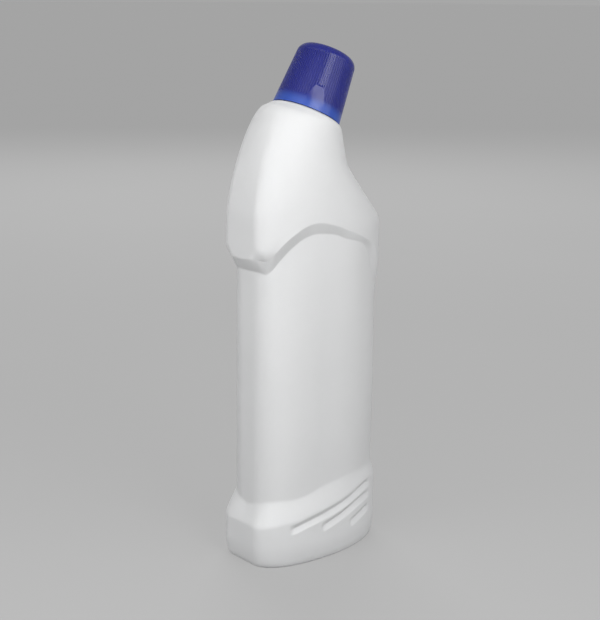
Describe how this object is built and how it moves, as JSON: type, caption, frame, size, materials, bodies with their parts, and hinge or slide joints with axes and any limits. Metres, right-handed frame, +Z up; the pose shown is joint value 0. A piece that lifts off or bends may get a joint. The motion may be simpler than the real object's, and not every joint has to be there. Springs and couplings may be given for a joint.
{
  "type": "detergent bottle",
  "caption": "White squeeze bottle with an angled neck, a recessed label panel under a wave-shaped ledge, a grooved skirt and a blue ribbed screw cap over a squirting nozzle.",
  "frame": {"origin": "middle of the object's bounding box at the level of the surface it stands on", "axes": "+Z up, +X from the blunt front of the body to its rounded back, the way the neck leans, +Y across the body"},
  "size_m": [0.0931, 0.0544, 0.2805],
  "materials": {
    "bottle_white": "satin blown plastic",
    "nozzle_natural": "natural soft plastic",
    "wad_foam": "fine closed foam",
    "cap_blue": "slightly translucent moulded plastic"
  },
  "bodies": {
    "bottle": {"bottle": "bottle_white", "nozzle_insert": "nozzle_natural"},
    "wad": {"sealing_wad": "wad_foam"},
    "cap": {"cap": "cap_blue"}
  },
  "joints": [
    {"name": "cap_lift", "type": "slide", "parent": "bottle", "child": "wad", "axis": [0.4352, 0, 0.9003], "range_m": [0, 0.0064]},
    {"name": "cap_turn", "type": "hinge", "parent": "wad", "child": "cap", "pos_m": [-0.0032, 0, 0.243], "axis": [0.4352, 0, 0.9003], "range_deg": [0, 540]}
  ],
  "couplings": [
    {"joint": "cap_lift", "follows": "cap_turn", "m_per_rad": 0.00067322}
  ]
}
